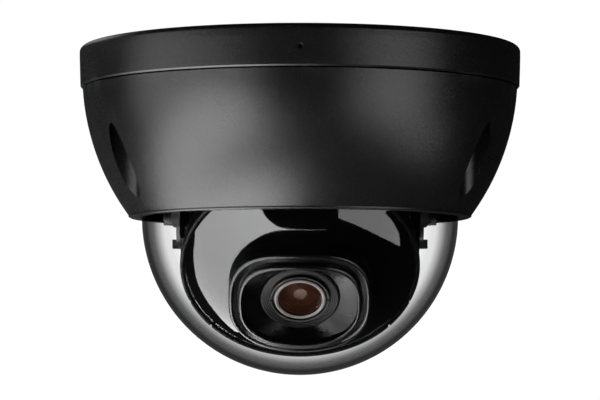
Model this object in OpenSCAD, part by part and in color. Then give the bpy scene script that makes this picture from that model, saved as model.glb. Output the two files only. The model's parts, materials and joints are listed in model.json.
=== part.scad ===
// Ceiling dome camera: a die-cast base and a tapered cover with a clear dome,
// around a lens module that pans, tilts and turns about its own lens axis.
// Millimetres. The origin is the middle of the ceiling face, +Z is up and the
// lens looks towards -Y and down.

/* [Base] */
// Outer diameter of the mounting base
base_d = 122; // [120:0.5:126]
// Height of the plain band around the base
base_h = 11.1; // [10.9:0.1:11.3]
// Rounding of the band's upper edge
band_round = 1.4; // [0.8:0.1:1.8]
// Bolt circle of the ceiling screws
mount_pcd = 108.4; // [108:0.1:108.8]
// Diameter of each ceiling screw hole
mount_hole_d = 5; // [4.8:0.1:5.4]
// Bore of the cable grommet
cable_d = 7; // [5:0.5:9]
// Diameter of the microphone hole in the band
mic_hole_d = 1.0; // [0.8:0.1:1.8]

/* [Cover] */
// Depth of the cover's lower face below the ceiling
body_h = 47; // [46.8:0.1:47.4]
// Radius of the arc that the cover's wall follows
cover_arc_r = 66.64; // [66.5:0.02:66.8]
// Wall thickness of the cover
cover_wall = 2.2; // [1.8:0.1:2.4]
// Radius of the circle on which the cover screws stand
screw_pitch_r = 54.1; // [53.9:0.1:54.3]
// Diameter of the screw pockets in the cover
pocket_d = 8.4; // [8:0.1:8.8]

/* [Dome] */
// Outer radius of the clear dome
dome_r = 43.7; // [43.5:0.1:43.8]
// Wall thickness of the clear dome
dome_wall = 2; // [1.6:0.1:2.2]

/* [Lens module] */
// Angle of the lens axis below the horizontal at rest
look_down = 43; // [40:1:46]
// Outer radius of the tilt ring
ring_r = 32.4; // [32:0.1:32.5]
// Distance of the ring's front face from the tilt axis
ring_front = 21.9; // [21.6:0.1:22.1]
// Radius of curvature of the eye shroud
shroud_arc_r = 44; // [42:0.5:47]
// Half width of the lens hood
hood_a = 19.1; // [18.5:0.05:19.5]
// Half height of the lens hood
hood_b = 17.15; // [16.8:0.05:17.4]
// Distance of the hood's middle above the lens axis
hood_up = 0.55; // [0:0.05:0.8]
// Squareness of the hood's outline
hood_e = 2.62; // [2.3:0.02:3.2]
// Wall of the lens hood at its front
hood_wall = 3.7; // [3.4:0.1:4]
// Distance of the hood's front edge from the tilt axis
hood_reach = 40.9; // [40.4:0.1:41.1]
// Radius of the front glass
glass_r = 5.95; // [5.8:0.05:6]
// Travel of the day/night filter slider
filter_travel = 8.5; // [7.5:0.5:8.5]

/* [Hidden] */
$fn = 96;
base_r = base_d / 2;
floor_t = 3;
gap = 0.4;
cover_top = -(base_h + gap);
zd = -(body_h - 0.4);
arc_cx = -6.36;
arc_cz = -6.91;
dome_in = dome_r - dome_wall;
flange_t = 3;
seal_ri = 47.4;
seal_ro = 50.2;
screw_az = [-30, 90, 210];
hole_az = [0, 120, 240];
lug_az = [30, 150, 270];
lug_r = 47.4;
arm_x0 = 33;
arm_x1 = 35.2;
shroud_r = ring_r - 1.4;
shroud_c = ring_front - sqrt(shroud_arc_r * shroud_arc_r - shroud_r * shroud_r);
post_az = [90, 210, 330];
post_r = 24;
led_az = [0, 35, 145, 180];
board_z = -6.1;

// Superellipse outline of half width a and half height b
function squircle(a, b, e = 3, n = 80) = [for (i = [0 : n - 1])
  let (t = 360 * (i + 0.5) / n, c = cos(t), s = sin(t))
  [a * sign(c) * pow(abs(c), 2 / e), b * sign(s) * pow(abs(s), 2 / e)]];

module tube(ro, ri, z0, z1) {
  translate([0, 0, z0]) difference() {
    cylinder(r = ro, h = z1 - z0);
    translate([0, 0, -1]) cylinder(r = ri, h = z1 - z0 + 2);
  }
}
module rod(r, z0, z1) { translate([0, 0, z0]) cylinder(r = r, h = z1 - z0); }
module box(x, y, z0, z1) { translate([-x / 2, -y / 2, z0]) cube([x, y, z1 - z0]); }
module around(list, r) { for (a = list) rotate([0, 0, a]) translate([r, 0, 0]) children(); }
module both_sides() { children(); mirror([1, 0, 0]) children(); }
// Frame of the lens module: origin on the tilt axis, +Z along the lens axis
module eye() { translate([0, 0, zd]) rotate([90 + look_down, 0, 0]) children(); }
// A cylinder along X, from x0 to x1
module rod_x(r, x0, x1) { translate([x0, 0, 0]) rotate([0, 90, 0]) cylinder(r = r, h = x1 - x0); }

// Screw with a pan head below its seat at z = 0, shank going up, star recess
module pan_screw(shank_r, length, head_r, head_h, drive_r) {
  difference() {
    union() {
      rod(shank_r, 0, length);
      rotate([180, 0, 0]) rotate_extrude() intersection() {
        square([head_r, head_h]);
        translate([0, head_h - 2.2 * head_r]) circle(r = 2.2 * head_r);
      }
    }
    translate([0, 0, -head_h - 1]) for (a = [0, 60, 120]) rotate([0, 0, a])
      translate([-drive_r, -drive_r * 0.28, 0]) cube([2 * drive_r, drive_r * 0.56, 1 + head_h * 0.6]);
  }
}

// ---- base -------------------------------------------------------------

module base_profile() {
  polygon([[11.2, 0], [base_r - band_round, 0], [base_r - band_round, -band_round],
    [base_r, -band_round], [base_r, -3], [base_r - 0.25, -base_h + 0.4],
    [base_r - 0.65, -base_h], [57.4, -base_h], [57.4, -floor_t],
    // wall under the cover seal
    [seal_ro, -floor_t], [seal_ro, -base_h], [seal_ri, -base_h], [seal_ri, -floor_t],
    // wall that carries the pan retainer
    [43.4, -floor_t], [43.4, -base_h + 0.2], [39.3, -base_h + 0.2], [39.3, -floor_t],
    // seat of the pan washer
    [36.6, -floor_t], [36.6, -6.3], [32.6, -6.3], [32.6, -floor_t], [11.2, -floor_t]]);
  intersection() {
    translate([base_r - band_round, -band_round]) circle(r = band_round);
    translate([base_r - band_round - 0.1, -band_round]) square([band_round + 0.1, band_round]);
  }
}

module mounting_base() {
  color([0.07, 0.07, 0.075]) difference() {
    union() {
      rotate_extrude() base_profile();
      around(screw_az, screw_pitch_r) rod(4.6, -base_h + 0.1, -floor_t + 0.5);
      around([30, 150, 270], 23.5) rod(2.6, board_z, -floor_t + 0.5);
      // stiffening ribs between the two outer walls
      for (a = [15, 45, 75, 105, 135, 165, 195, 225, 255, 285, 315, 345])
        rotate([0, 0, a]) translate([seal_ro - 0.5, -0.7, -7]) cube([58.4 - seal_ro, 1.4, 4.5]);
      // ribs between the pan wall and the seal wall
      for (a = [0 : 30 : 330]) rotate([0, 0, a])
        translate([42.9, -0.8, -8]) cube([seal_ri - 42.4, 1.6, 5.5]);
      // stop that ends the pan travel
      rotate([0, 0, -90]) translate([36.1, -1, -6]) cube([3.7, 2, 3.5]);
      // cradle of the microphone
      for (s = [-1, 1]) translate([s * 3.4 - 0.5, -56.6, -7.5]) cube([1, 4.4, 5]);
    }
    // threads of the cover screws
    around(screw_az, screw_pitch_r) rod(2.1, -base_h - 1, -2.2);
    // ceiling screw holes and room for their heads
    around(hole_az, mount_pcd / 2) { rod(mount_hole_d / 2, -20, 1); rod(3.9, -20, -floor_t + 0.3); }
    // threads of the board and retainer screws
    around([30, 150, 270], 23.5) rod(1, -7, -3.2);
    around([60, 180, 300], 41.4) rod(1.2, -12, -5);
    // groove of the ceiling seal
    tube(59.2, 57.2, -1, 1);
    // weight-saving pockets in the ceiling face
    for (a = [0 : 60 : 300]) rotate([0, 0, a + 30]) intersection() {
      tube(46.5, 17.5, -0.8, 1);
      linear_extrude(height = 4, center = true) polygon([[5, 0], [60, 29], [60, -29]]);
    }
    // microphone hole with a small countersink
    translate([0, 0, -6.1]) rotate([90, 0, 0]) {
      rod(mic_hole_d / 2, 54, 64);
      translate([0, 0, 60.1]) cylinder(r1 = mic_hole_d / 2 - 0.2, r2 = mic_hole_d / 2 + 0.7, h = 1.2);
    }
  }
}

module ceiling_seal() { color([0.1, 0.1, 0.1]) tube(59.15, 57.25, -0.98, 0); }

module cable_grommet() {
  color([0.09, 0.09, 0.09]) difference() {
    union() {
      rod(11.15, -floor_t - 0.5, -0.2);
      rod(14, -floor_t - 1.6, -floor_t - 0.01);
      translate([0, 0, -floor_t - 5]) cylinder(r1 = 5.6, r2 = 7.6, h = 3.5);
    }
    rod(cable_d / 2, -20, 2);
    tube(9.2, 6.2, -1.4, 1);
  }
}

module main_board() {
  color([0.02, 0.22, 0.12]) difference() {
    tube(30.4, 15.2, board_z - 1.6, board_z - 0.01);
    around([30, 150, 270], 23.5) rod(1.15, -20, 0);
  }
}
module processor() {
  color([0.05, 0.05, 0.05]) translate([0, 23, 0]) {
    box(13, 13, board_z - 2.8, board_z - 1.61);
    box(11, 11, board_z - 3.2, board_z - 2.79);
    for (i = [-2 : 2]) translate([i * 2.4, 0, 0]) box(1, 11, board_z - 5.4, board_z - 3.19);
  }
}
module network_transformer() {
  color([0.06, 0.06, 0.06]) rotate([0, 0, 195]) translate([23, 0, 0]) {
    box(9.4, 13, board_z - 5.2, board_z - 2);
    for (s = [-1, 1], i = [-3 : 3]) translate([s * 5, i * 1.7, 0]) box(1.6, 0.6, board_z - 3, board_z - 1.61);
  }
}
module board_capacitors() {
  color([0.55, 0.56, 0.6]) for (a = [-18, 0, 18]) rotate([0, 0, 330 + a]) translate([24, 0, 0]) {
    rod(2.5, board_z - 7, board_z - 2.2);
    box(5.2, 5.2, board_z - 2.4, board_z - 1.61);
  }
}
module cable_header() {
  color([0.85, 0.83, 0.76]) rotate([0, 0, 235]) translate([24, 0, 0]) difference() {
    box(6, 15, board_z - 6.4, board_z - 1.61);
    box(4.2, 13.4, board_z - 9, board_z - 3);
  }
}
module module_connector() {
  color([0.8, 0.78, 0.7]) rotate([0, 0, 56]) translate([25, 0, 0]) {
    box(4, 11, board_z - 3.4, board_z - 1.61);
    translate([2.1, 0, 0]) box(0.8, 12.4, board_z - 3.1, board_z - 1.9);
  }
}
module reset_switch() {
  color([0.72, 0.72, 0.74]) rotate([0, 0, 120]) translate([24.5, 0, 0]) difference() {
    box(6, 6, board_z - 5, board_z - 1.61);
    rod(1.85, board_z - 9, board_z - 3);
  }
}
module reset_button() {
  color([0.05, 0.05, 0.05]) rotate([0, 0, 120]) translate([24.5, 0, 0])
    rod(1.8, board_z - 6.4, board_z - 3.5);
}
module board_screws() {
  color([0.7, 0.7, 0.72]) around([30, 150, 270], 23.5)
    translate([0, 0, board_z - 1.61]) pan_screw(0.95, 3.6, 2, 1.3, 1);
}

module pan_washer() { color([0.85, 0.85, 0.82]) tube(36.4, 32.8, -6.9, -6.31); }

module pan_retainer() {
  color([0.08, 0.08, 0.085]) difference() {
    tube(43.4, 36.8, -12.3, -base_h + 0.19);
    around([60, 180, 300], 41.4) rod(1.35, -20, 0);
  }
}
module pan_retainer_screws() {
  color([0.7, 0.7, 0.72]) around([60, 180, 300], 41.4)
    translate([0, 0, -12.31]) pan_screw(1.15, 6, 2.1, 1.5, 1.05);
}

module microphone() {
  color([0.6, 0.6, 0.6]) translate([0, 0, -6.1]) rotate([90, 0, 0]) rod(1.95, 53.6, 55.6);
}
module microphone_boot() {
  color([0.05, 0.05, 0.05]) translate([0, 0, -6.1]) rotate([90, 0, 0]) difference() {
    rod(2.59, 52.6, 57.1);
    rod(1.96, 53.59, 55.61);
    rod(0.7, 55, 58);
  }
}

// ---- cover ------------------------------------------------------------

// Section of the solid that the cover's outside bounds, d below the surface
module cover_section(d, z0, z1) {
  intersection() {
    translate([arc_cx, arc_cz]) circle(r = cover_arc_r - d, $fn = 200);
    translate([0, z0]) square([80, z1 - z0]);
  }
}
module cover_round(d, z0, z1) { rotate_extrude() cover_section(d, z0, z1); }
function cover_at(z) = arc_cx + sqrt(cover_arc_r * cover_arc_r - (z - arc_cz) * (z - arc_cz));

module dome_cover() {
  lip = 0.6;
  edge_r = cover_at(-body_h + lip);
  color([0.07, 0.07, 0.075]) difference() {
    union() {
      difference() {
        union() {
          cover_round(0, -body_h + lip, cover_top);
          rotate_extrude() union() {
            translate([0, -body_h]) square([edge_r - lip, lip]);
            translate([edge_r - lip, -body_h + lip]) intersection() {
              circle(r = lip);
              translate([0, -lip]) square([lip, lip]);
            }
          }
        }
        cover_round(cover_wall, -44.9, cover_top - flange_t);
        rod(seal_ri + 0.2, cover_top - flange_t - 0.5, 0);
      }
      // columns that hold the screw pockets, kept inside the cover's outline
      intersection() {
        around(screw_az, screw_pitch_r) rod(pocket_d / 2 + 1.6, -46, cover_top - 0.01);
        cover_round(0.01, -46, cover_top - 0.01);
      }
      // bosses of the dome retainer's screws
      intersection() {
        around(lug_az, lug_r) rod(2.3, -46, -38.6);
        cover_round(0.02, -46, -38.6);
      }
      tube(cover_at(-44.9) - 1, dome_r + 0.25, -body_h + 0.3, -44.9);
    }
    // way for the dome
    rod(dome_r + 0.25, -60, -44);
    // screw pockets and their clearance holes
    around(screw_az, screw_pitch_r) { rod(pocket_d / 2, -60, cover_top - flange_t); rod(2.25, -60, 0); }
    around(lug_az, lug_r) rod(0.95, -43, -38);
    // groove of the cover seal
    tube(49.7, 47.9, cover_top - 1.7, 0);
  }
}

module clear_dome() {
  color([0.8, 0.85, 0.9, 0.35]) difference() {
    rotate_extrude() union() {
      intersection() {
        difference() {
          translate([0, zd]) circle(r = dome_r, $fn = 200);
          translate([0, zd]) circle(r = dome_in, $fn = 200);
        }
        translate([0, zd - 60]) square([60, 60]);
      }
      polygon([[dome_in, zd], [dome_r, zd], [dome_r, -44.3], [45.6, -44.3], [45.6, -42.3], [dome_in, -42.3]]);
    }
    // notches in the flange that keep the dome from turning
    around(lug_az, lug_r) rod(2.6, -44.5, -42);
  }
}
module dome_gasket() { color([0.12, 0.12, 0.12]) tube(44.9, 44.05, -44.89, -44.31); }
module dome_retainer() {
  color([0.09, 0.09, 0.095]) difference() {
    union() {
      difference() {
        tube(45.5, 42.2, -42.29, -37.2);
        around(lug_az, lug_r) rod(2.6, -60, -38.59);
      }
      around(lug_az, lug_r) rod(2.2, -38.59, -37.2);
      for (a = lug_az) rotate([0, 0, a]) translate([44, -2.2, -38.59]) cube([3.4, 4.4, 1.39]);
    }
    around(lug_az, lug_r) rod(1.1, -60, 0);
  }
}
module dome_retainer_screws() {
  color([0.7, 0.7, 0.72]) around(lug_az, lug_r) translate([0, 0, -37.19]) rotate([180, 0, 0])
    pan_screw(0.9, 5.2, 1.9, 1.3, 0.95);
}
module cover_seal() { color([0.12, 0.12, 0.12]) tube(49.65, 47.95, cover_top - 1.69, -base_h - 0.15); }
module cover_screws() {
  color([0.3, 0.3, 0.31]) around(screw_az, screw_pitch_r)
    translate([0, 0, cover_top - flange_t - 0.8]) pan_screw(2, 11, 3.5, 2.8, 1.8);
}
module cover_screw_washers() {
  color([0.1, 0.1, 0.1]) around(screw_az, screw_pitch_r)
    tube(3.4, 2.05, cover_top - flange_t - 0.79, cover_top - flange_t - 0.01);
}

// ---- pan --------------------------------------------------------------

// One arm, drawn in the plane across X: wide above, a round end, then a tongue
module arm_outline() {
  translate([-9, zd + 6]) square([18, -15 - zd]);
  translate([0, zd]) circle(r = 7.6);
  polygon([[-9, zd + 6.5], [9, zd + 6.5], [7.6, zd], [-7.6, zd]]);
  translate([-2.6, zd - 8.8]) square([5.2, 8]);
}
// Ring that pans in the base, with a slot for the upper end of each arm
module gimbal_yoke() {
  color([0.1, 0.1, 0.105]) difference() {
    union() {
      tube(39, 31.6, -10.6, -7.2);
      // peg that meets the pan stop
      rotate([0, 0, 90]) translate([37.9, 0, 0]) rod(0.8, -7.3, -4.2);
    }
    both_sides() translate([arm_x0 - 0.02, -9.02, -20]) cube([arm_x1 - arm_x0 + 0.04, 18.04, 11.02]);
  }
}
// Two arms that hang from the ring and carry the tilt pivots
module yoke_arms() {
  color([0.1, 0.1, 0.105]) both_sides() {
    difference() {
      union() {
        translate([arm_x0, 0, 0]) rotate([90, 0, 90]) linear_extrude(height = arm_x1 - arm_x0) arm_outline();
        // stiffening ribs along the edges of the arm
        for (s = [-1, 1]) translate([arm_x1 - 0.1, s * 8.2 - 0.8, -38]) cube([1, 1.6, 24.6]);
        // boss around the pivot
        translate([0, 0, zd]) rod_x(2.5, arm_x1 - 0.1, arm_x1 + 0.3);
      }
      translate([0, 0, zd]) rod_x(1.96, 30, 40);
      // below the pivot only a thin tongue goes on, with a nub at its tip
      difference() {
        translate([arm_x0 + 1, -12, zd - 20]) cube([6, 24, 17.4]);
        translate([arm_x0 - 1, -2.2, zd - 8.8]) cube([arm_x1 - arm_x0 + 1, 4.4, 2.4]);
      }
    }
  }
}

// ---- tilt -------------------------------------------------------------

module tilt_ring() {
  color([0.05, 0.05, 0.055]) eye() difference() {
    union() {
      tube(ring_r, shroud_r + 0.1, 16.5, ring_front);
      tube(ring_r - 0.6, 28.4, 16.5, 18);
      both_sides() difference() {
        union() {
          rod_x(7, 30.4, 32.4);
          translate([30.4, -7, 0]) cube([2, 14, 17.2]);
        }
        rod(28.4, -20, 30);
      }
    }
    both_sides() rod_x(1.45, 28, 36);
    // two short notches on each side of the rim's lower half
    for (a = [-22, -40.5, 202, 220.5]) rotate([0, 0, a])
      translate([shroud_r + 0.3, -0.45, ring_front - 0.9]) cube([3, 0.9, 2]);
    rod(shroud_r + 0.1, 18, 30);
  }
}
module tilt_pivot_screws() {
  color([0.62, 0.62, 0.64]) translate([0, 0, zd]) both_sides() difference() {
    union() {
      rod_x(1.4, 30.4, 32.5);
      rod_x(1.9, 32.41, 36.3);
      rod_x(2.4, 36.2, 37.7);
    }
    for (a = [0, 90]) rotate([a, 0, 0]) translate([36.9, -1.3, -0.3]) cube([2, 2.6, 0.6]);
  }
}
module tilt_friction_washers() {
  color([0.85, 0.85, 0.82]) translate([0, 0, zd]) both_sides() difference() {
    rod_x(3.6, 32.41, 32.9);
    rod_x(1.92, 30, 40);
  }
}
module tilt_spring_washers() {
  color([0.72, 0.72, 0.74]) translate([0, 0, zd]) both_sides() difference() {
    rod_x(2.5, 35.6, 36.19);
    rod_x(1.92, 30, 40);
  }
}

// ---- lens module ------------------------------------------------------

module shroud_ball(r) { translate([0, 0, shroud_c]) sphere(r = r, $fn = 160); }

module eye_shroud() {
  color([0.02, 0.02, 0.022]) eye() difference() {
    union() {
      intersection() {
        difference() { shroud_ball(shroud_arc_r); shroud_ball(shroud_arc_r - 1.8); }
        rod(shroud_r, ring_front, 60);
      }
      tube(shroud_r, 29.2, 18.3, ring_front + 0.01);
      intersection() {
        around(post_az, post_r) rod(2.4, 21.21, 40);
        shroud_ball(shroud_arc_r - 1);
      }
    }
    rod(12.4, 0, 60);
    around(post_az, post_r) rod(0.95, 15, 23.4);
  }
}

// Outline of the hood, d inside its outer edge
function hood_at(d) = squircle(hood_a - d, hood_b - 1.11 * d, hood_e);

module lens_hood() {
  color([0.03, 0.03, 0.032]) eye() difference() {
    intersection() {
      translate([0, hood_up, 26]) linear_extrude(height = 20) polygon(hood_at(0));
      sphere(r = hood_reach, $fn = 160);
    }
    translate([0, hood_up, 20]) linear_extrude(height = 30) polygon(hood_at(hood_wall));
    // groove between the hood's two lips
    difference() {
      translate([0, hood_up, 30]) linear_extrude(height = 20) difference() {
        polygon(hood_at(1.2));
        polygon(hood_at(2.8));
      }
      sphere(r = hood_reach - 0.5, $fn = 160);
    }
    shroud_ball(shroud_arc_r + 0.01);
  }
}

module lens_panel() {
  color([0.02, 0.02, 0.022]) eye() difference() {
    intersection() {
      translate([0, hood_up, 30]) linear_extrude(height = 10) polygon(hood_at(hood_wall + 0.02));
      rod(40, 30, 36);
    }
    translate([0, 0, 33.9]) cylinder(r1 = 10.6, r2 = 17.4, h = 3);
    rod(10.6, 20, 60);
    shroud_ball(shroud_arc_r + 0.01);
  }
}

module lens_front_ring() {
  color([0.1, 0.1, 0.1]) eye() rotate_extrude() polygon(concat(
    [[8.05, 30.5], [10.5, 30.5], [10.5, 34.1], [10.2, 34.4], [9.9, 34.4]],
    [for (i = [0 : 3]) each [[9.9 - 0.45 * i, 34.15 - 0.2 * i], [9.45 - 0.45 * i, 34.15 - 0.2 * i]]],
    [[8.05, 33.4]]));
}
module lens_retaining_ring() {
  color([0.75, 0.73, 0.7]) eye() difference() {
    rotate_extrude() polygon([[glass_r + 0.02, 33.7], [7.9, 33.7], [7.9, 34.5],
      [7.65, 34.7], [7.4, 34.5], [7.3, 34], [6.95, 34], [6.85, 34.55], [6.6, 34.75], [6.3, 34.75],
      [glass_r + 0.02, 34.5]]);
    for (s = [-1, 1]) translate([s * 7.7 - 0.5, -0.45, 34.1]) cube([1, 0.9, 2]);
  }
}
// Lens bounded by a sphere in front (radius rf, apex at za) and a flat back
module lens_body(r, rf, za, zb) {
  intersection() {
    rod(r, zb, za + 1);
    translate([0, 0, za - rf]) sphere(r = rf, $fn = 120);
  }
}
module front_lens() { color([0.2, 0.12, 0.08, 0.8]) eye() lens_body(glass_r, 24, 35.2, 32.6); }
module lens_barrel() {
  color([0.08, 0.08, 0.08]) eye() rotate_extrude() polygon([
    [7.9, 13], [8, 13.4], [8, 33.69], [glass_r + 0.02, 33.69], [glass_r + 0.02, 32.58],
    [5.5, 32.58], [5.5, 31.02], [5.25, 31.02], [5.25, 28.01], [4.4, 28.01], [4.4, 25.5],
    [5.25, 25.5], [5.25, 24], [4.62, 20], [4.62, 16], [3.6, 16], [3.6, 13]]);
}
module middle_lens() { color([0.25, 0.2, 0.25, 0.8]) eye() lens_body(5.23, 12, 31, 28.02); }
module iris_ring() { color([0.3, 0.22, 0.16]) eye() tube(5.23, 2.2, 24.6, 25.49); }
module rear_lens() { color([0.25, 0.25, 0.3, 0.8]) eye() lens_body(4.6, 11, 19.6, 16.02); }

module lens_holder() {
  color([0.09, 0.09, 0.095]) eye() difference() {
    union() {
      box(31.5, 16, 7.01, 12);
      rod(10.2, 11.9, 24);
    }
    rod(8.02, 12.98, 40);
    rod(4.4, 10, 14);
    box(28.4, 12, 8.6, 10.8);
    box(12.4, 11.4, 6, 8.7);
    for (x = [-1, 1], y = [-1, 1]) translate([x * 13.4, y * 6.9, 0]) rod(0.5, 6, 8);
  }
}
module filter_slider() {
  color([0.12, 0.12, 0.12]) eye() difference() {
    translate([-5.2, -5.6, 9]) cube([18.9, 11.2, 1.4]);
    for (x = [0, 8.5]) translate([x, 0, 0]) { box(7, 8, 8, 12); box(7.8, 8.8, 9.5, 12); }
  }
}
module infrared_cut_filter() { color([0.3, 0.6, 0.65, 0.6]) eye() box(7.7, 8.7, 9.51, 10.1); }
module clear_filter() { color([0.85, 0.9, 0.9, 0.5]) eye() translate([8.5, 0, 0]) box(7.7, 8.7, 9.51, 10.1); }

module sensor_board() {
  color([0.02, 0.2, 0.12]) eye() difference() {
    box(34, 30, 5.4, 7);
    for (x = [-1, 1], y = [-1, 1]) translate([x * 14.4, y * 12.6, 0]) rod(1.1, 0, 10);
  }
}
module image_sensor() {
  color([0.25, 0.25, 0.3]) eye() {
    box(11, 10, 7.01, 7.9);
    box(8.4, 7.4, 7.89, 8.3);
  }
}
module sensor_screws() {
  color([0.7, 0.7, 0.72]) eye() for (x = [-1, 1], y = [-1, 1]) translate([x * 14.4, y * 12.6, 7.01])
    rotate([180, 0, 0]) pan_screw(0.9, 5, 1.9, 1.2, 0.95);
}
module infrared_board() {
  color([0.85, 0.85, 0.83]) eye() difference() {
    tube(27.4, 19.6, 20.01, 21.2);
    around(post_az, post_r) rod(1.2, 10, 30);
  }
}
module infrared_leds() {
  color([0.75, 0.7, 0.45]) eye() around(led_az, 23.6) {
    box(3.4, 3.4, 21.21, 22);
    intersection() {
      translate([0, 0, 21.8]) sphere(r = 1.5, $fn = 48);
      rod(2, 21.9, 24);
    }
  }
}
module rear_housing() {
  color([0.55, 0.56, 0.58]) eye() difference() {
    union() {
      // cup with the groove of the roll retainer and the rim that turns in the tilt ring
      rotate_extrude() polygon([[0, -6.5], [28, -6.5], [28, 14.9], [27.4, 14.9], [27.4, 16.2],
        [28, 16.2], [28, 18.3], [29.1, 18.3], [29.1, 20], [26.2, 20], [26.2, -4], [0, -4]]);
      around(post_az, post_r) rod(2.6, -5, 19.9);
      for (x = [-1, 1], y = [-1, 1]) translate([x * 14.4, y * 12.6, 0]) rod(2.3, -5, 5.39);
      intersection() {
        rod(20.5, -12, -6);
        for (i = [-4 : 4]) translate([i * 4.4, 0, 0]) box(1.6, 60, -12, -6);
      }
    }
    around(post_az, post_r) rod(1.2, -20, 30);
    for (x = [-1, 1], y = [-1, 1]) translate([x * 14.4, y * 12.6, 0]) rod(1, 0, 10);
  }
}
module module_screws() {
  color([0.7, 0.7, 0.72]) eye() around(post_az, post_r)
    translate([0, 0, -6.51]) pan_screw(0.94, 29.5, 2.1, 1.4, 1.05);
}
module roll_retainer() {
  color([0.7, 0.7, 0.72]) eye() difference() {
    tube(29.9, 27.45, 14.95, 16.15);
    translate([0, 28, 15]) cube([5, 8, 6], center = true);
  }
}

mounting_base();
ceiling_seal();
cable_grommet();
main_board();
processor();
network_transformer();
board_capacitors();
cable_header();
module_connector();
reset_switch();
reset_button();
board_screws();
pan_washer();
pan_retainer();
pan_retainer_screws();
microphone();
microphone_boot();
dome_cover();
clear_dome();
dome_gasket();
dome_retainer();
dome_retainer_screws();
cover_seal();
cover_screws();
cover_screw_washers();
gimbal_yoke();
yoke_arms();
tilt_ring();
tilt_pivot_screws();
tilt_friction_washers();
tilt_spring_washers();
eye_shroud();
lens_hood();
lens_panel();
lens_front_ring();
lens_retaining_ring();
front_lens();
lens_barrel();
middle_lens();
iris_ring();
rear_lens();
lens_holder();
filter_slider();
infrared_cut_filter();
clear_filter();
sensor_board();
image_sensor();
sensor_screws();
infrared_board();
infrared_leds();
rear_housing();
module_screws();
roll_retainer();
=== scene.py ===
import bpy, bmesh, json, math
from mathutils import Vector, Matrix


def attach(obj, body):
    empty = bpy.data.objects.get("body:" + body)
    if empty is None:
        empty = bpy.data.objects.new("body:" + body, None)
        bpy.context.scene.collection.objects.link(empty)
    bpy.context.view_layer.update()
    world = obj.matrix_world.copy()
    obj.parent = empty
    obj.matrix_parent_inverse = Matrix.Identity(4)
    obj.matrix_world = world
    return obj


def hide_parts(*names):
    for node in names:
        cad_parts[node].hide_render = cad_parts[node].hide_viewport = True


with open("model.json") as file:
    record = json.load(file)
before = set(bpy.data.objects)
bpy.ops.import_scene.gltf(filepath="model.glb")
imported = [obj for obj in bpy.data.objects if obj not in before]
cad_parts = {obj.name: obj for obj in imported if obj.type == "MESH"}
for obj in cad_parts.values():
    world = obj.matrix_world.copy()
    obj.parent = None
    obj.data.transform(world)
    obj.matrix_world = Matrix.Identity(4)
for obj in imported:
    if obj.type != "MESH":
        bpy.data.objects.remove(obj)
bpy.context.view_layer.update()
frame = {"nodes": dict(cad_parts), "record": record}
N = frame["nodes"]
MM = 0.001


# ---- node helpers -----------------------------------------------------------

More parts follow.
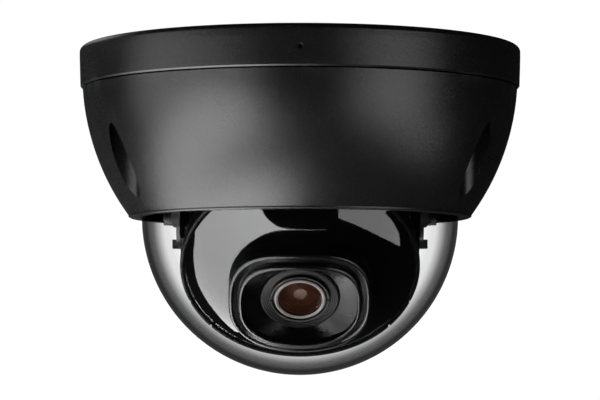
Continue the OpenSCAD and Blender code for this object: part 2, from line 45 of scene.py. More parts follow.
class Mat:
    """A material with a Principled shader and a few short ways to wire it."""

    def __init__(self, name):
        self.m = bpy.data.materials.new(name)
        self.m.use_nodes = True
        self.t = self.m.node_tree
        self.t.nodes.clear()
        self.out = self.t.nodes.new("ShaderNodeOutputMaterial")
        self.p = self.t.nodes.new("ShaderNodeBsdfPrincipled")
        self.link(self.p.outputs[0], self.out.inputs[0])
        self.obj = self.t.nodes.new("ShaderNodeTexCoord").outputs["Object"]

    def link(self, a, b):
        self.t.links.new(a, b)

    def node(self, kind, **props):
        n = self.t.nodes.new(kind)
        for k, v in props.items():
            setattr(n, k, v)
        return n

    def put(self, socket, value):
        if isinstance(value, bpy.types.NodeSocket):
            self.link(value, socket)
        else:
            socket.default_value = value

    def set(self, **values):
        for k, v in values.items():
            self.put(self.p.inputs[k.replace("_", " ")], v)
        return self

    def noise(self, scale, detail=2.0, rough=0.5, vector=None, distortion=0.0):
        n = self.node("ShaderNodeTexNoise")
        n.inputs["Scale"].default_value = scale
        n.inputs["Detail"].default_value = detail
        n.inputs["Roughness"].default_value = rough
        n.inputs["Distortion"].default_value = distortion
        self.link(vector or self.obj, n.inputs["Vector"])
        return n.outputs["Fac"]

    def cells(self, scale, feature="F1", randomness=1.0, vector=None):
        n = self.node("ShaderNodeTexVoronoi", feature=feature)
        n.inputs["Scale"].default_value = scale
        if "Randomness" in n.inputs:
            n.inputs["Randomness"].default_value = randomness
        self.link(vector or self.obj, n.inputs["Vector"])
        return n.outputs["Distance"]

    def wave(self, scale, kind="BANDS", direction="X", distortion=0.0, vector=None, profile="SIN"):
        n = self.node("ShaderNodeTexWave", wave_type=kind, wave_profile=profile)
        if kind == "BANDS":
            n.bands_direction = direction
        else:
            n.rings_direction = direction
        n.inputs["Scale"].default_value = scale
        n.inputs["Distortion"].default_value = distortion
        n.inputs["Detail"].default_value = 0.0
        self.link(vector or self.obj, n.inputs["Vector"])
        return n.outputs["Fac"]

    def stretch(self, sx, sy, sz, rot=(0, 0, 0), loc=(0, 0, 0)):
        n = self.node("ShaderNodeMapping")
        n.inputs["Scale"].default_value = (sx, sy, sz)
        n.inputs["Rotation"].default_value = rot
        n.inputs["Location"].default_value = loc
        self.link(self.obj, n.inputs["Vector"])
        return n.outputs[0]

    def range(self, fac, lo, hi, a=0.0, b=1.0):
        n = self.node("ShaderNodeMapRange")
        n.inputs["From Min"].default_value = a
        n.inputs["From Max"].default_value = b
        n.inputs["To Min"].default_value = lo
        n.inputs["To Max"].default_value = hi
        self.link(fac, n.inputs["Value"])
        return n.outputs[0]

    def ramp(self, fac, *stops):
        n = self.node("ShaderNodeValToRGB")
        e = n.color_ramp.elements
        while len(e) < len(stops):
            e.new(0.5)
        for el, (pos, col) in zip(e, stops):
            el.position = pos
            el.color = (*col, 1.0)
        self.link(fac, n.inputs[0])
        return n.outputs[0]

    def mix(self, fac, a, b):
        n = self.node("ShaderNodeMix", data_type="RGBA")
        self.put(n.inputs[0], fac)
        for socket, v in ((n.inputs[6], a), (n.inputs[7], b)):
            self.put(socket, (*v, 1.0) if isinstance(v, tuple) else v)
        return n.outputs[2]

    def math(self, op, a, b=0.0, clamp=False):
        n = self.node("ShaderNodeMath", operation=op, use_clamp=clamp)
        self.put(n.inputs[0], a)
        self.put(n.inputs[1], b)
        return n.outputs[0]

    def bump(self, height, strength, distance, below=None):
        n = self.node("ShaderNodeBump")
        n.inputs["Strength"].default_value = strength
        n.inputs["Distance"].default_value = distance
        self.link(height, n.inputs["Height"])
        if below is not None:
            self.link(below, n.inputs["Normal"])
        return n.outputs[0]

    def edges(self, lo=0.5, hi=0.62):
        """1 on convex edges, from the mesh's own pointiness."""
        g = self.node("ShaderNodeNewGeometry")
        return self.range(g.outputs["Pointiness"], 0.0, 1.0, lo, hi)

    def xyz(self, vector=None):
        n = self.node("ShaderNodeSeparateXYZ")
        self.link(vector or self.obj, n.inputs[0])
        return n.outputs

    def radius(self, centre, axis):
        """Distance in metres from the line through centre along axis."""
        s = self.node("ShaderNodeVectorMath", operation="SUBTRACT")
        self.link(self.obj, s.inputs[0])
        s.inputs[1].default_value = centre
        d = self.node("ShaderNodeVectorMath", operation="CROSS_PRODUCT")
        self.link(s.outputs[0], d.inputs[0])
        d.inputs[1].default_value = axis
        l = self.node("ShaderNodeVectorMath", operation="LENGTH")
        self.link(d.outputs[0], l.inputs[0])
        return l.outputs["Value"]

    def distance(self, centre):
        """Distance in metres from a point."""
        d = self.node("ShaderNodeVectorMath", operation="DISTANCE")
        self.link(self.obj, d.inputs[0])
        d.inputs[1].default_value = centre
        return d.outputs["Value"]


# ---- frame of the lens module -------------------------------------------------

LOOK = math.radians(43)
AXIS = Vector((0, -math.cos(LOOK), -math.sin(LOOK)))
UP = Vector((0, -math.sin(LOOK), math.cos(LOOK)))
ZD = -46.6
PIVOT = Vector((0, 0, ZD)) * MM


def eye(x, y, z):
    """A point of the lens module's own frame, in mm, as a point of the row frame in metres."""
    return Vector((x * MM, 0, 0)) + PIVOT + UP * (y * MM) + AXIS * (z * MM)


# ---- materials ---------------------------------------------------------------

def powder_coat():
    m = Mat("powder_coat_black")
    grain = m.noise(5200, 2.0, 0.6)
    orange = m.noise(420, 2.0, 0.5)
    broad = m.noise(38, 3.0, 0.55)
    fleck = m.cells(1250)
    spark = m.range(fleck, 1.0, 0.0, 0.05, 0.16)
    base = m.ramp(broad, (0.3, (0.0032, 0.0032, 0.0034)), (0.7, (0.0046, 0.0046, 0.0048)))
    base = m.mix(m.math("MULTIPLY", spark, 0.45), base, (0.040, 0.040, 0.041))
    worn = m.math("MULTIPLY", m.edges(0.53, 0.66), m.range(m.noise(160, 4.0, 0.6), 0.0, 0.8, 0.45, 0.75))
    base = m.mix(worn, base, (0.030, 0.030, 0.031))
    rough = m.math("ADD", m.range(grain, 0.24, 0.30, 0.3, 0.7), m.range(broad, -0.02, 0.02, 0.3, 0.7))
    n1 = m.bump(orange, 0.2, 0.00006)
    n2 = m.bump(grain, 1.0, 0.00004, n1)
    m.set(Base_Color=base, Roughness=rough, Normal=n2, Specular_IOR_Level=0.3)
    return m.m


def gloss_black(name="gloss_black", lo=0.02, hi=0.05, spec=0.5):
    m = Mat(name)
    haze = m.noise(90, 4.0, 0.6)
    dust = m.range(m.cells(900), 1.0, 0.0, 0.02, 0.06)
    base = m.ramp(haze, (0.3, (0.0006, 0.0006, 0.0006)), (0.7, (0.0010, 0.0010, 0.0011)))
    base = m.mix(m.math("MULTIPLY", dust, 0.05), base, (0.05, 0.05, 0.05))
    m.set(Base_Color=base, Roughness=m.range(haze, lo, hi, 0.3, 0.7), Specular_IOR_Level=spec)
    return m.m


def hood_black():
    """Matt side walls, and a polished rim along the front edges."""
    m = Mat("hood_black")
    d = m.distance(PIVOT)
    rim = m.range(d, 0.0, 1.0, 0.0395, 0.0398)
    broad = m.noise(70, 3.0, 0.5)
    base = m.ramp(broad, (0.3, (0.0010, 0.0010, 0.0010)), (0.7, (0.0018, 0.0018, 0.0019)))
    rough = m.math("ADD", m.range(rim, 0.5, 0.185, 0.0, 1.0), m.range(broad, 0.0, 0.05, 0.3, 0.7))
    m.set(Base_Color=base, Roughness=rough, Specular_IOR_Level=m.range(rim, 0.05, 0.34, 0.0, 1.0))
    return m.m


def satin_black(name="satin_black", lo=0.32, hi=0.42, tone=1.0):
    m = Mat(name)
    grain = m.noise(2600, 2.0, 0.55)
    broad = m.noise(55, 3.0, 0.5)
    base = m.ramp(broad, (0.3, (0.0085 * tone, 0.0085 * tone, 0.0088 * tone)),
                  (0.7, (0.0125 * tone, 0.0125 * tone, 0.0130 * tone)))
    worn = m.math("MULTIPLY", m.edges(0.54, 0.7), m.range(m.noise(210, 3.0, 0.6), 0.0, 0.6, 0.45, 0.75))
    base = m.mix(worn, base, (0.05, 0.05, 0.05))
    m.set(Base_Color=base, Roughness=m.range(m.math("ADD", grain, broad), lo, hi, 0.7, 1.3),
          Normal=m.bump(grain, 0.25, 0.00004), Specular_IOR_Level=0.5)
    return m.m


def clear_dome_glass():
    """Clear shell: what is behind it is dimmed more and more toward the edge of the bubble, a painted shade that stands
    in for the dark band refraction shows there.
    """
    m = Mat("clear_polycarbonate")
    m.t.nodes.remove(m.p)
    film = m.noise(30, 3.0, 0.6)
    inner = m.ramp(film, (0.3, (0.978, 0.979, 0.979)), (0.7, (0.992, 0.993, 0.993)))
    lw = m.node("ShaderNodeLayerWeight")
    lw.inputs["Blend"].default_value = 0.5
    facing = lw.outputs["Facing"]
    # painted shade on the outer surface: the see-through colour darkens toward the bubble's edge
    stops = ((0.40, 0.92), (0.451, 0.872), (0.491, 0.854), (0.513, 0.803), (0.536, 0.718), (0.562, 0.625), (0.589, 0.524),
             (0.618, 0.417), (0.65, 0.355), (0.686, 0.345), (0.727, 0.215), (0.7765, 0.155), (0.841, 0.19), (1.0, 0.3))
    outer = m.ramp(facing, *((f, (v, v, v)) for f, v in stops))
    skin = m.range(m.distance(PIVOT), 0.0, 1.0, 0.0426, 0.0428)
    clear = m.node("ShaderNodeBsdfTransparent")
    m.link(m.mix(skin, inner, outer), clear.inputs[0])
    shine = m.node("ShaderNodeBsdfGlossy")
    shine.inputs["Color"].default_value = (1, 1, 1, 1)
    m.link(m.range(m.noise(60, 4.0, 0.65), 0.0, 0.006, 0.45, 0.75), shine.inputs["Roughness"])
    body = m.node("ShaderNodeMixShader")
    m.link(m.range(facing, 0.0, 0.25, 0.72, 1.0), body.inputs[0])
    m.link(clear.outputs[0], body.inputs[1])
    m.link(shine.outputs[0], body.inputs[2])
    m.link(body.outputs[0], m.out.inputs[0])
    return m.m


def coated_glass(name, lo, hi, ior=1.52, through=(0.4, 0.3, 0.25)):
    """Glass with a coating that takes nearly all of the reflection away."""
    m = Mat(name)
    m.t.nodes.remove(m.p)
    film = m.noise(120, 2.0, 0.5)
    bend = m.node("ShaderNodeBsdfRefraction")
    bend.inputs["IOR"].default_value = ior
    m.link(m.ramp(film, (0.3, lo), (0.7, hi)), bend.inputs["Color"])
    m.link(m.range(film, 0.0, 0.012, 0.4, 0.7), bend.inputs["Roughness"])
    shine = m.node("ShaderNodeBsdfGlossy")
    shine.inputs["Color"].default_value = (0.9, 0.8, 1.0, 1)
    m.link(m.range(film, 0.02, 0.06, 0.4, 0.7), shine.inputs["Roughness"])
    lw = m.node("ShaderNodeLayerWeight")
    lw.inputs["Blend"].default_value = 0.5
    coat = m.node("ShaderNodeBsdfDiffuse")
    m.link(m.ramp(film, (0.3, (0.060, 0.022, 0.014)), (0.7, (0.072, 0.028, 0.017))), coat.inputs[0])
    tinted = m.node("ShaderNodeMixShader")
    m.link(m.range(film, 0.065, 0.08, 0.3, 0.7), tinted.inputs[0])
    m.link(bend.outputs[0], tinted.inputs[1])
    m.link(coat.outputs[0], tinted.inputs[2])
    body = m.node("ShaderNodeMixShader")
    m.link(m.range(lw.outputs["Facing"], 0.0, 0.3, 0.55, 1.0), body.inputs[0])
    m.link(tinted.outputs[0], body.inputs[1])
    m.link(shine.outputs[0], body.inputs[2])
    clear = m.node("ShaderNodeBsdfTransparent")
    clear.inputs[0].default_value = (*through, 1)
    mix = m.node("ShaderNodeMixShader")
    m.link(m.node("ShaderNodeLightPath").outputs["Is Shadow Ray"], mix.inputs[0])
    m.link(body.outputs[0], mix.inputs[1])
    m.link(clear.outputs[0], mix.inputs[2])
    m.link(mix.outputs[0], m.out.inputs[0])
    return m.m


def rubber():
    m = Mat("rubber_black")
    grain = m.noise(1800, 3.0, 0.6)
    broad = m.noise(60, 3.0, 0.5)
    base = m.ramp(broad, (0.3, (0.012, 0.012, 0.012)), (0.7, (0.022, 0.022, 0.021)))
    bloom = m.range(m.noise(25, 4.0, 0.65), 0.0, 0.35, 0.55, 0.8)
    m.set(Base_Color=m.mix(bloom, base, (0.055, 0.054, 0.052)), Roughness=m.range(grain, 0.68, 0.85, 0.3, 0.7),
          Normal=m.bump(grain, 0.35, 0.00006), Specular_IOR_Level=0.35)
    return m.m


def metal(name, dark, light, lo, hi, scale=(40, 40, 900), bump=0.12, spots=None):
    m = Mat(name)
    brushed = m.noise(6.0, 3.0, 0.6, vector=m.stretch(*scale))
    broad = m.noise(90, 3.0, 0.55)
    base = m.ramp(m.math("ADD", m.math("MULTIPLY", brushed, 0.6), m.math("MULTIPLY", broad, 0.4)), (0.3, dark), (0.7, light))
    if spots:
        base = m.mix(m.range(m.noise(240, 4.0, 0.7), 0.0, 0.7, 0.6, 0.75), base, spots)
    m.set(Base_Color=base, Metallic=1.0, Roughness=m.range(m.math("ADD", brushed, broad), lo, hi, 0.7, 1.3),
          Normal=m.bump(brushed, bump, 0.00004))
    return m.m


def cast_aluminium():
    m = Mat("bare_aluminium")
    grain = m.noise(900, 4.0, 0.65)
    broad = m.noise(70, 4.0, 0.6)
    base = m.ramp(broad, (0.3, (0.40, 0.40, 0.41)), (0.7, (0.56, 0.56, 0.57)))
    m.set(Base_Color=base, Metallic=1.0, Roughness=m.range(grain, 0.36, 0.52, 0.3, 0.7), Normal=m.bump(grain, 0.4, 0.00006))
    return m.m


def pale_ring():
    m = Mat("pale_ring")
    r = m.radius(eye(0, 0, 0), AXIS)
    turned = m.math("SINE", m.math("MULTIPLY", r, 42000.0))
    broad = m.noise(300, 3.0, 0.5)
    base = m.ramp(broad, (0.3, (0.086, 0.080, 0.076)), (0.7, (0.118, 0.110, 0.106)))
    # blackened from the groove outward, with a thin pale line of painted highlight on the outer bead
    black = m.range(r, 0.0, 1.0, 0.00684, 0.00692)
    # painted highlight: the thin pale line along the outer bead
    line = m.math("MULTIPLY", m.range(r, 0.0, 1.0, 0.00752, 0.00762), m.range(r, 1.0, 0.0, 0.00776, 0.00786))
    base = m.mix(black, base, (0.0016, 0.0016, 0.0016))
    base = m.mix(m.math("MULTIPLY", line, 0.8), base, (0.060, 0.056, 0.054))
    m.set(Base_Color=base, Roughness=m.range(turned, 0.36, 0.46, -1, 1), Normal=m.bump(turned, 0.06, 0.00003),
          Specular_IOR_Level=m.range(black, 0.3, 0.12, 0.0, 1.0))
    return m.m


def ridged_black():
    """Dark front ring with fine turned ridges, their crests painted lighter as a painted highlight."""
    m = Mat("lens_ring_black")
    r = m.radius(eye(0, 0, 0), AXIS)
    ridge = m.math("SINE", m.math("MULTIPLY", r, 14000.0))
    broad = m.noise(120, 3.0, 0.5)
    base = m.ramp(broad, (0.3, (0.0016, 0.0016, 0.0016)), (0.7, (0.0028, 0.0028, 0.0029)))
    # painted highlight: the ridge crests are painted lighter than the ring
    base = m.mix(m.range(ridge, 0.0, 0.5, 0.2, 1.0), base, (0.012, 0.012, 0.012))
    m.set(Base_Color=base, Roughness=m.range(broad, 0.42, 0.54, 0.3, 0.7), Normal=m.bump(ridge, 0.35, 0.00008),
          Specular_IOR_Level=0.18)
    return m.m


def circuit_board(name="circuit_board", mask_lo=(0.006, 0.075, 0.035), mask_hi=(0.010, 0.115, 0.055), trace=(0.020, 0.19, 0.095)):
    m = Mat(name)
    broad = m.noise(60, 2.0, 0.5)
    base = m.ramp(broad, (0.3, mask_lo), (0.7, mask_hi))
    a = m.wave(230, direction="X", distortion=0.0, vector=m.stretch(1, 1, 0))
    b = m.wave(230, direction="Y", distortion=0.0, vector=m.stretch(1, 1, 0))
    pick = m.range(m.cells(120, randomness=0.9, vector=m.stretch(1, 1, 0)), 0.0, 1.0, 0.42, 0.46)
    lines = m.mix(pick, m.ramp(a, (0.62, (0, 0, 0)), (0.72, (1, 1, 1))), m.ramp(b, (0.62, (0, 0, 0)), (0.72, (1, 1, 1))))
    base = m.mix(m.math("MULTIPLY", lines, 0.75), base, trace)
    via = m.range(m.cells(380, randomness=0.75, vector=m.stretch(1, 1, 0)), 1.0, 0.0, 0.14, 0.19)
    base = m.mix(via, base, (0.62, 0.46, 0.22))
    m.set(Base_Color=base, Roughness=m.range(m.math("ADD", via, broad), 0.34, 0.24, 0.3, 1.0), Normal=m.bump(lines, 0.3, 0.00004))
    return m.m


def moulded(name, lo, hi, rlo=0.45, rhi=0.6, scale=1400, spec=0.5):
    m = Mat(name)
    grain = m.noise(scale, 3.0, 0.6)
    broad = m.noise(80, 3.0, 0.5)
    m.set(Base_Color=m.ramp(broad, (0.3, lo), (0.7, hi)), Roughness=m.range(grain, rlo, rhi, 0.3, 0.7),
          Normal=m.bump(grain, 0.25, 0.00004), Specular_IOR_Level=spec)
    return m.m


def led_epoxy():
    m = Mat("led_clear")
    broad = m.noise(700, 2.0, 0.5)
    m.set(Base_Color=m.ramp(broad, (0.3, (0.50, 0.42, 0.20)), (0.7, (0.70, 0.62, 0.36))), Roughness=m.range(broad, 0.05, 0.14, 0.3, 0.7),
          Transmission_Weight=0.5, IOR=1.5)
    return m.m


def lens_pupil():
    """The coated inner lens: a pale disc of reflected light in its middle, dark brown coating around it."""
    m = Mat("inner_lens_coating")
    r = m.radius(eye(0.1, -0.75, 0), AXIS)
    swirl = m.noise(420, 1.0, 0.4, distortion=1.2)
    pale = m.ramp(swirl, (0.38, (0.045, 0.034, 0.029)), (0.62, (0.125, 0.105, 0.096)))
    inside = m.range(r, 1.0, 0.0, 0.00148, 0.00168)
    base = m.mix(inside, m.ramp(m.noise(150, 2.0), (0.3, (0.0085, 0.0032, 0.0020)), (0.7, (0.0112, 0.0043, 0.0027))), pale)
    m.set(Base_Color=base, Roughness=m.range(swirl, 0.3, 0.4, 0.3, 0.7), Specular_IOR_Level=0.1)
    return m.m


M = {
    "powder_coat_black": powder_coat(),
    "clear_polycarbonate": clear_dome_glass(),
    "gloss_black": gloss_black(),
    "satin_black": satin_black(),
    "rubber_black": rubber(),
    "steel": metal("steel", (0.50, 0.50, 0.51), (0.68, 0.68, 0.69), 0.22, 0.36, spots=(0.42, 0.42, 0.43)),
    "black_steel": metal("black_steel", (0.020, 0.020, 0.021), (0.045, 0.045, 0.047), 0.30, 0.44, spots=(0.10, 0.10, 0.10)),
    "bare_aluminium": cast_aluminium(),
    "pale_ring": pale_ring(),
    "lens_glass": coated_glass("lens_glass", (0.86, 0.82, 0.80), (0.92, 0.88, 0.86), through=(0.8, 0.78, 0.76)),
    "filter_glass": coated_glass("filter_glass", (0.62, 0.80, 0.80), (0.72, 0.88, 0.88), through=(0.7, 0.85, 0.85)),
    "circuit_board": circuit_board(),
    "white_board": circuit_board("white_board", (0.62, 0.62, 0.60), (0.72, 0.72, 0.70), (0.52, 0.52, 0.50)),
    "chip_black": moulded("chip_black", (0.012, 0.012, 0.012), (0.021, 0.021, 0.021), 0.5, 0.66),
    "connector_cream": moulded("connector_cream", (0.62, 0.57, 0.46), (0.70, 0.66, 0.55), 0.4, 0.52, 500),
    "washer_white": moulded("washer_white", (0.68, 0.68, 0.66), (0.76, 0.76, 0.73), 0.42, 0.52, 700),
    "led_clear": led_epoxy(),
}
M["inner_lens"] = lens_pupil()
M["lens_ring"] = ridged_black()
M["hood"] = hood_black()
M["funnel"] = gloss_black("funnel_black", 0.26, 0.30, 0.13)


def lip_black():
    """Satin black lip: glossy on its rounded outer edge, matt on its inner edge."""
    m = Mat("ring_black")
    r = m.radius(eye(0, 0, 0), AXIS)
    broad = m.noise(90, 3.0, 0.5)
    base = m.ramp(broad, (0.3, (0.0016, 0.0016, 0.0017)), (0.7, (0.0026, 0.0026, 0.0027)))
    m.set(Base_Color=base, Roughness=m.range(r, 0.12, 0.19, 0.03160, 0.03175),
          Specular_IOR_Level=m.range(r, 0.02, 0.16, 0.03160, 0.03175))
    return m.m


M["ring_face"] = lip_black()

slot_of = {s["node"]: s["material_slot"] for s in frame["record"]["subparts"]}
own = {"middle_lens": "inner_lens", "lens_front_ring": "lens_ring", "tilt_ring": "ring_face"}


def paint(obj, name):
    obj.data.materials.clear()
    obj.data.materials.append(M[name])


for name, obj in N.items():
    paint(obj, own.get(name, slot_of[name]))


# ---- shaped pieces -------------------------------------------------------------

def piece(name, rows, slot, body, replaces=(), closed_ends=False, sharp=32, material=None):
    """A mesh from rows of points. Each row is a ring, and neighbouring rows are joined."""
    me = bpy.data.meshes.new(name)
    n = len(rows[0])
    verts = [v for r in rows for v in r]
    faces = []
    last = len(rows) - 1 + (1 if closed_ends else 0)
    for i in range(last):
        a, b = i * n, ((i + 1) % len(rows)) * n
        for j in range(n):
            k = (j + 1) % n
            faces.append((a + j, a + k, b + k, b + j))
    me.from_pydata([tuple(v) for v in verts], [], faces)
    bm = bmesh.new()
    bm.from_mesh(me)
    bmesh.ops.remove_doubles(bm, verts=bm.verts, dist=1e-7)
    bmesh.ops.recalc_face_normals(bm, faces=bm.faces)
    bm.to_mesh(me)
    bm.free()
    for p in me.polygons:
        p.use_smooth = True
    me.set_sharp_from_angle(angle=math.radians(sharp))
    o = bpy.data.objects.new(name, me)
    bpy.context.scene.collection.objects.link(o)
    paint(o, material or slot)
    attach(o, body)
    if replaces:
        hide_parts(*replaces)
    return o


def arc(cx, cy, r, a0, a1, n):
    return [(cx + r * math.cos(math.radians(a0 + (a1 - a0) * i / n)),
             cy + r * math.sin(math.radians(a0 + (a1 - a0) * i / n))) for i in range(n + 1)]


def turned(name, profile, slot, body, replaces=(), steps=256, sharp=32):
    """A closed profile of (radius, height) in mm, turned about the Z axis of the row frame."""
    rows = []
    for r, z in profile:
        rows.append([Vector((r * math.cos(2 * math.pi * j / steps), r * math.sin(2 * math.pi * j / steps), z)) * MM
                     for j in range(steps)])
    return piece(name, rows, slot, body, replaces, closed_ends=True, sharp=sharp)


def squircle(a, b, t, e=2.62):
    c, s = math.cos(t), math.sin(t)
    return (math.copysign(abs(c) ** (2 / e), c) * a, math.copysign(abs(s) ** (2 / e), s) * b)


def hood_at(d, t):
    """A point of the hood's outline, drawn in by d."""
    x, y = squircle(HOOD_A - d, HOOD_B - 1.11 * d, t)
    return x, y + HOOD_UP


SHROUD_R, SHROUD_C = 44.0, 21.9 - math.sqrt(44.0 ** 2 - 31.0 ** 2)
HOOD_A, HOOD_B, HOOD_UP, REACH = 19.1, 17.15, 0.55, 40.9


def on_shroud(x, y):
    return SHROUD_C + math.sqrt(SHROUD_R ** 2 - x * x - y * y)


def on_front(x, y):
    return math.sqrt(REACH ** 2 - x * x - y * y)


def hood():
    """Side walls, a rounded outer lip, a flat ledge, then the inner lip one step higher."""
    steps = 240
    rows = []

    def row(fn):
        ring = []
        for j in range(steps):
            t = 2 * math.pi * (j + 0.5) / steps
            x, y, z = fn(t)
            ring.append(eye(x, y, z))
        rows.append(ring)

    def on(d, rule):
        def fn(t):
            x, y = hood_at(d, t)
            return x, y, rule(x, y, t)
        row(fn)

    def ledge(t):
        return on_front(*hood_at(0.7, t)) - 0.07

    def low(t):
        # the ledge leans outward along the hood's lower side
        u = min(1.0, max(0.0, (-math.sin(t) - 0.5) / 0.45))
        return u * u * (3 - 2 * u)

    on(0.0, lambda x, y, t: on_shroud(x, y) - 0.35)
    on(0.0, lambda x, y, t: on_shroud(x, y) + 0.05)
    on(0.0, lambda x, y, t: ledge(t) - 3.0)
    for a in range(0, 136, 9):
        d, h = 0.75 - 0.75 * math.cos(math.radians(a)), 0.75 * math.sin(math.radians(a)) - 0.75
        on(d, lambda x, y, t, h=h: ledge(t) + 0.1 + h)
    for d in (1.29, 1.34, 2.5, 2.55):
        on(d, lambda x, y, t, d=d: ledge(t) - 0.13 - (0.07 - 0.2 * low(t)) * (d - 1.3))
    on(2.58, lambda x, y, t: max(on_front(x, y) - 0.75, ledge(t) - 0.21 + 0.25 * low(t)))
    for a in range(0, 181, 12):
        d, h = 3.14 - 0.54 * math.cos(math.radians(a)), 0.54 * math.sin(math.radians(a)) - 0.54
        on(d, lambda x, y, t, h=h: on_front(x, y) + h)
    on(3.7, lambda x, y, t: on_front(x, y) - 0.95)
    on(3.74, lambda x, y, t: 35.2)
    on(3.74, lambda x, y, t: 33.2)
    on(3.74, lambda x, y, t: on_shroud(x, y) - 0.35)
    return piece("hood_shell", rows, "satin_black", "eye", ("lens_hood",), closed_ends=True, sharp=26, material="hood")


def funnel():
    steps = 240
    around = [2 * math.pi * (j + 0.5) / steps for j in range(steps)]
    edge = [hood_at(3.76, t) for t in around]
    bore = [(10.62 * math.cos(math.atan2(y, x)), 10.62 * math.sin(math.atan2(y, x))) for x, y in edge]
    rows = []
    for i in range(13):
        s = i / 12
        ring = []
        for (xs, ys), (xc, yc) in zip(edge, bore):
            x, y = xs + (xc - xs) * s, ys + (yc - ys) * s
            top = min(36.4, on_front(xs, ys) - 0.95)
            ring.append(eye(x, y, top + (33.8 - top) * s))
        rows.append(ring)
    for z in (33.2, 31.5):
        rows.append([eye(x, y, z) for x, y in bore])
    for z in (31.5, 33.5):
        rows.append([eye(x, y, max(z, on_shroud(x, y) + 0.02)) for x, y in edge])
    return piece("lens_funnel", rows, "gloss_black", "eye", ("lens_panel",), closed_ends=True, sharp=40, material="funnel")


def dome():
    ro, ri, top, seat, flange = 43.7, 41.7, -42.3, -44.3, 45.6
    prof = [(ri, top)] + [(ri * math.cos(math.radians(a)), ZD - ri * math.sin(math.radians(a))) for a in [x * 0.75 for x in range(0, 120)]]
    prof += [(0.0004, ZD - ri), (0.0004, ZD - ro)]
    prof += [(ro * math.cos(math.radians(a)), ZD - ro * math.sin(math.radians(a))) for a in [x * 0.75 for x in range(119, -1, -1)]]
    prof += [(ro, seat), (flange, seat), (flange, top)]
    return turned("dome_bubble", prof, "clear_polycarbonate", "cover", ("clear_dome",), steps=288, sharp=30)


hood()
funnel()
dome()



def ring_lip():
    """Rounded front edge of the tilt ring, with its four short notches."""
    steps = 720
    prof = [(32.5, 20.4), (32.5, 21.4)]
    prof += [(32.1 + 0.4 * math.cos(math.radians(a)), 21.52 + 0.4 * math.sin(math.radians(a))) for a in range(0, 91, 10)]
    prof += [(31.7, 21.92), (31.32, 21.92), (31.04, 21.79), (31.04, 21.3), (31.04, 20.4)]
    rows = []
    for r, z in prof:
        ring = []
        for j in range(steps):
            t = 360.0 * j / steps
            cut = any(abs((t - a + 180) % 360 - 180) < 0.85 for a in (-22, -40.5, 202, 220.5))
            k, h = (min(r, 31.4), min(z, 21.1)) if cut else (r, z)
            ring.append(eye(k * math.cos(math.radians(t)), k * math.sin(math.radians(t)), h))
        rows.append(ring)
    return piece("ring_lip", rows, "satin_black", "tilt", closed_ends=True, sharp=20, material="ring_face")


def shroud_skin():
    """Polished outer skin of the shroud, with a crisp rim."""
    steps = 288
    prof = [(12.45 + 18.57 * i / 48, on_shroud(12.45 + 18.57 * i / 48, 0) + 0.03) for i in range(49)]
    prof += [(31.02, 21.3), (30.8, 21.3)]
    prof += [(30.8 - 18.35 * i / 12, on_shroud(30.8 - 18.35 * i / 12, 0) - 0.15) for i in range(13)]
    rows = [[eye(r * math.cos(2 * math.pi * j / steps), r * math.sin(2 * math.pi * j / steps), z) for j in range(steps)]
            for r, z in prof]
    return piece("shroud_skin", rows, "gloss_black", "eye", closed_ends=True, sharp=30)


ring_lip()
shroud_skin()

# ---- stage: backdrop, floor and lights ---------------------------------------------

scene = bpy.context.scene
scene.view_settings.view_transform = "Standard"
scene.view_settings.look = "None"
scene.view_settings.exposure = 0.0
scene.view_settings.gamma = 1.0

world = bpy.data.worlds.new("studio")
scene.world = world
world.use_nodes = True
bg = world.node_tree.nodes["Background"]
# dim all round, a little paler to the left and behind
wt = world.node_tree
wc = wt.nodes.new("ShaderNodeTexCoord")
wd = wt.nodes.new("ShaderNodeVectorMath"); wd.operation = "DOT_PRODUCT"
wd.inputs[1].default_value = Vector((-0.85, 0.52, 0.05)).normalized()
wt.links.new(wc.outputs["Generated"], wd.inputs[0])
wr = wt.nodes.new("ShaderNodeMapRange"); wr.interpolation_type = "SMOOTHSTEP"
wr.inputs["From Min"].default_value, wr.inputs["From Max"].default_value = 0.45, 0.9
wr.inputs["To Min"].default_value, wr.inputs["To Max"].default_value = 0.010, 0.02
wt.links.new(wd.outputs["Value"], wr.inputs["Value"])
bg.inputs[0].default_value = (1, 1, 1, 1)
wt.links.new(wr.outputs[0], bg.inputs[1])


def glow(name, colour, strength):
    m = bpy.data.materials.new(name)
    m.use_nodes = True
    t = m.node_tree
    t.nodes.clear()
    out = t.nodes.new("ShaderNodeOutputMaterial")
    e = t.nodes.new("ShaderNodeEmission")
    e.inputs[0].default_value = (*colour, 1)
    e.inputs[1].default_value = strength
    t.links.new(e.outputs[0], out.inputs[0])
    return m, t, e


def card(name, points, faces, material):
    me = bpy.data.meshes.new(name)
    me.from_pydata([tuple(p) for p in points], [], faces)
    me.materials.append(material)
    o = bpy.data.objects.new(name, me)
    scene.collection.objects.link(o)
    return o


HUB = Vector((0, -0.01, -0.06))


def panel(name, build, strength, fade=None):
    """A soft light panel on a sphere around the object, left out of the camera's own view."""
    m, t, e = glow(name, (1, 1, 1), strength)
    if fade:
        # the strength changes from front to back
        tc = t.nodes.new("ShaderNodeTexCoord")
        sep = t.nodes.new("ShaderNodeSeparateXYZ")
        t.links.new(tc.outputs["Object"], sep.inputs[0])
        mr = t.nodes.new("ShaderNodeMapRange")
        for k, v in zip(("From Min", "From Max", "To Min", "To Max"), fade):
            mr.inputs[k].default_value = v
        t.links.new(sep.outputs[1], mr.inputs["Value"])
        t.links.new(mr.outputs[0], e.inputs[1])
    bm = bmesh.new()
    build(bm)
    bmesh.ops.subdivide_edges(bm, edges=bm.edges, cuts=3, use_grid_fill=True)
    for v in bm.verts:
        v.co = HUB + (v.co - HUB).normalized() * 0.72
    me = bpy.data.meshes.new(name)
    bm.to_mesh(me)
    bm.free()
    me.materials.append(m)
    o = bpy.data.objects.new(name, me)
    scene.collection.objects.link(o)
    o.visible_camera = False
    return o


def at(d):
    return HUB + Vector(d).normalized() * 0.72


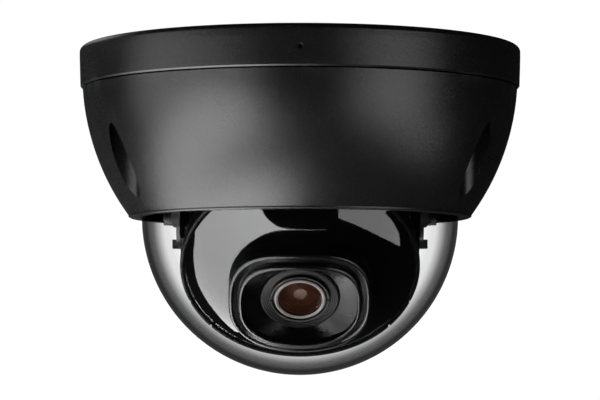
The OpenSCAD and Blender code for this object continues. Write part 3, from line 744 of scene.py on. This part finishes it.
def outline(directions):
    def build(bm):
        vs = [bm.verts.new(at(d)) for d in directions]
        c = bm.verts.new(at(sum((Vector(d).normalized() for d in directions), Vector())))
        for i in range(len(vs)):
            bm.faces.new((vs[i], vs[(i + 1) % len(vs)], c))
    return build


def strip(upper, lower):
    def build(bm):
        u = [bm.verts.new(at(d)) for d in upper]
        l = [bm.verts.new(at(d)) for d in lower]
        for i in range(len(u) - 1):
            bm.faces.new((u[i], u[i + 1], l[i + 1], l[i]))
    return build


panel("light_left", outline([
    (-0.50, -0.86, -0.06), (-0.447, -0.868, -0.218), (-0.435, -0.867, -0.244), (-0.419, -0.867, -0.270), (-0.402, -0.868, -0.293),
    (-0.380, -0.869, -0.317), (-0.464, -0.734, -0.495), (-0.500, -0.700, -0.510), (-0.535, -0.661, -0.527), (-0.567, -0.616, -0.547),
    (-0.598, -0.565, -0.569), (-0.626, -0.512, -0.588), (-0.651, -0.449, -0.612), (-0.663, -0.358, -0.657), (-0.66, -0.10, -0.74),
    (-0.60, 0.12, -0.79), (-0.50, 0.36, -0.79), (-0.38, 0.60, -0.70), (-0.27, 0.77, -0.58), (-0.284, 0.807, -0.518),
    (-0.335, 0.768, -0.546), (-0.390, 0.723, -0.570), (-0.453, 0.668, -0.590), (-0.511, 0.618, -0.598), (-0.566, 0.571, -0.595),
    (-0.617, 0.525, -0.586), (-0.662, 0.481, -0.575), (-0.705, 0.435, -0.560), (-0.743, 0.387, -0.546), (-0.779, 0.334, -0.530),
    (-0.809, 0.287, -0.513), (-0.842, 0.229, -0.489), (-0.871, 0.172, -0.460), (-0.897, 0.112, -0.428), (-0.918, 0.050, -0.394),
    (-0.935, 0.0, -0.355), (-0.953, -0.08, -0.29), (-0.945, -0.25, -0.21), (-0.90, -0.42, -0.13), (-0.80, -0.59, -0.07),
    (-0.68, -0.73, -0.05)]), 10.0, (-0.55, 0.45, 10.4, 5.0))
panel("light_tip", strip(
    [(-0.380, -0.869, -0.317), (-0.356, -0.870, -0.340), (-0.330, -0.872, -0.362), (-0.297, -0.873, -0.386), (-0.253, -0.877, -0.408),
     (-0.199, -0.882, -0.426), (-0.129, -0.890, -0.437), (-0.048, -0.896, -0.442), (0.024, -0.896, -0.443), (0.306, -0.846, -0.436)],
    [(-0.464, -0.734, -0.495), (-0.427, -0.765, -0.482), (-0.389, -0.792, -0.470), (-0.350, -0.816, -0.461), (-0.310, -0.836, -0.454),
     (-0.228, -0.864, -0.449), (-0.145, -0.883, -0.447), (-0.060, -0.893, -0.446), (0.03, -0.893, -0.445), (0.307, -0.846, -0.437)]), 10.4)
panel("light_side", outline([
    (-0.83, -0.55, -0.02), (-0.90, -0.43, -0.07), (-0.95, -0.27, -0.12), (-0.975, -0.06, -0.18), (-0.98, 0.06, -0.19),
    (-0.99, 0.05, 0.05), (-0.96, -0.10, 0.24), (-0.88, -0.40, 0.24), (-0.78, -0.60, 0.16), (-0.72, -0.69, 0.05)]), 3.2)
panel("light_under", outline([
    (-0.17, -0.68, -0.71), (-0.28, -0.66, -0.70), (-0.40, -0.61, -0.685), (-0.49, -0.55, -0.68), (-0.57, -0.46, -0.68),
    (-0.63, -0.32, -0.71), (-0.65, -0.10, -0.755), (-0.60, 0.12, -0.79), (-0.50, 0.36, -0.79), (-0.38, 0.60, -0.70),
    (-0.28, 0.76, -0.58), (-0.24, 0.62, -0.75), (-0.20, 0.35, -0.915), (-0.20, 0.05, -0.98), (-0.17, -0.22, -0.96),
    (-0.10, -0.42, -0.90), (-0.08, -0.58, -0.81)]), 11.0)
panel("light_back", outline([
    (-0.20, 0.05, -0.98), (-0.20, 0.35, -0.915), (-0.24, 0.62, -0.75), (0.0, 0.66, -0.75), (0.30, 0.60, -0.74),
    (0.35, 0.30, -0.89), (0.30, 0.10, -0.95)]), 2.2)
panel("light_right", outline([
    (0.52, -0.84, 0.18), (0.459, -0.862, -0.217), (0.455, -0.841, -0.294), (0.518, -0.795, -0.316), (0.580, -0.742, -0.336),
    (0.629, -0.693, -0.352), (0.676, -0.639, -0.368), (0.720, -0.579, -0.384), (0.760, -0.514, -0.398), (0.796, -0.444, -0.411),
    (0.828, -0.370, -0.422), (0.855, -0.290, -0.430), (0.877, -0.206, -0.435), (0.892, -0.117, -0.436), (0.901, -0.023, -0.434),
    (0.919, -0.074, -0.388), (0.930, -0.127, -0.346), (0.932, -0.192, -0.308), (0.927, -0.260, -0.269), (0.913, -0.340, -0.227),
    (0.889, -0.419, -0.184), (0.92, -0.37, -0.05), (0.90, -0.40, 0.18)]), 3.8)

# dim light from above and behind on the left, for the ceiling face
panel("light_top", outline([
    (-0.42, 0.66, 0.62), (-0.62, 0.50, 0.60), (-0.80, 0.35, 0.50), (-0.85, 0.42, 0.32), (-0.72, 0.62, 0.30),
    (-0.52, 0.78, 0.34), (-0.38, 0.78, 0.48)]), 1.5)

# white card behind
m, t, e = glow("backdrop_white", (1, 1, 1), 1.03)
back = card("backdrop", [(-2.0, 2.5, -0.88), (2.0, 2.5, -0.88), (2.0, 2.5, 1.6), (-2.0, 2.5, 1.6)], [(0, 1, 2, 3)], m)

# pale room around it and the floor
pale, _, _ = glow("studio_pale", (0.90, 0.90, 0.91), 0.92)
floor_m, _, _ = glow("floor_pale", (0.86, 0.86, 0.87), 0.90)
steps = 64
ring = lambda r, z: [(r * math.cos(2 * math.pi * j / steps), r * math.sin(2 * math.pi * j / steps), z) for j in range(steps)]
rows = [ring(4.5, -0.9), ring(4.5, 2.0), ring(3.0, 3.6), ring(0.01, 4.0)]
pts = [p for r in rows for p in r]
fcs = [(i * steps + j, i * steps + (j + 1) % steps, (i + 1) * steps + (j + 1) % steps, (i + 1) * steps + j)
       for i in range(len(rows) - 1) for j in range(steps)]
room = card("studio_room", pts, fcs, pale)
floor = card("floor", ring(4.5, -0.9), [tuple(range(steps))], floor_m)
for o in (room, floor, back):
    o.visible_glossy = False
    o.visible_diffuse = False
    o.visible_shadow = False
for o in (room, floor):
    o.visible_transmission = False

cam_data = bpy.data.cameras.new("camera")
cam_data.lens = 169.9
cam_data.sensor_width = 36.0
cam_data.clip_start, cam_data.clip_end = 0.01, 50
cam = bpy.data.objects.new("camera", cam_data)
scene.collection.objects.link(cam)
cam.location = (0, -0.7823, -0.08967)
cam.rotation_euler = (math.radians(93.491), 0, 0)
scene.camera = cam

bpy.context.view_layer.update()
